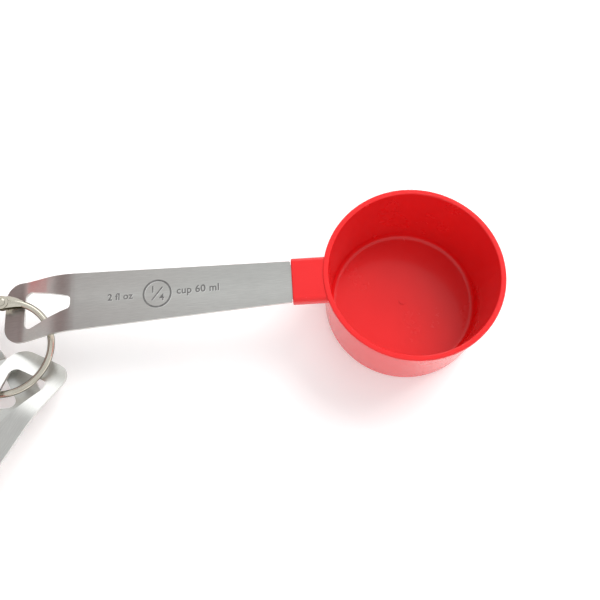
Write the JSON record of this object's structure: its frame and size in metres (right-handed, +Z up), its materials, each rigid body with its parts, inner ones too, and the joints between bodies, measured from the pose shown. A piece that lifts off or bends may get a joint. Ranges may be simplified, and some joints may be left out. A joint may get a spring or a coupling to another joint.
{
  "type": "measuring cup set",
  "caption": "Set of round measuring cups with flared plastic bowls, bent steel handles with hanging slots, and a split hinged carrying ring.",
  "frame": {"origin": "centre of the smallest cup's flat base, on the worktop", "axes": "+Z up; the smallest cup's handle runs along -X to the ring; the other cups fan out round the ring"},
  "size_m": [0.318, 0.3057, 0.042],
  "materials": {
    "cup_plastic": "gloss red",
    "handle_steel": "brushed lengthwise",
    "ring_nickel": "bright nickel plate"
  },
  "bodies": {
    "ring_fixed_half": {"ring_half_a": "ring_nickel", "ring_hinge_rivet": "ring_nickel"},
    "ring_moving_half": {"ring_half_b": "ring_nickel"},
    "cup_60": {"cup_60ml": "cup_plastic", "handle_60ml": "handle_steel"},
    "cup_80": {"cup_80ml": "cup_plastic", "handle_80ml": "handle_steel"},
    "cup_125": {"cup_125ml": "cup_plastic", "handle_125ml": "handle_steel"},
    "cup_250": {"cup_250ml": "cup_plastic", "handle_250ml": "handle_steel"}
  },
  "joints": [
    {"name": "ring_open", "type": "hinge", "parent": "ring_fixed_half", "child": "ring_moving_half", "pos_m": [-0.1338, 0.00302, 0.0155], "axis": [0, 0, -1], "range_deg": [0, 40]},
    {"name": "swing_60", "type": "hinge", "parent": "ring_fixed_half", "child": "cup_60", "pos_m": [-0.1322, -0.0122, 0.0155], "axis": [0, 0, 1], "range_deg": [-45, 18]},
    {"name": "swing_80", "type": "hinge", "parent": "ring_fixed_half", "child": "cup_80", "pos_m": [-0.1322, -0.0122, 0.0155], "axis": [0, 0, 1], "range_deg": [-3, 40]},
    {"name": "swing_125", "type": "hinge", "parent": "ring_moving_half", "child": "cup_125", "pos_m": [-0.1322, -0.0122, 0.0155], "axis": [0, 0, 1], "range_deg": [-5, 3]},
    {"name": "swing_250", "type": "hinge", "parent": "ring_moving_half", "child": "cup_250", "pos_m": [-0.1322, -0.0122, 0.0155], "axis": [0, 0, 1], "range_deg": [-12, 20]}
  ]
}
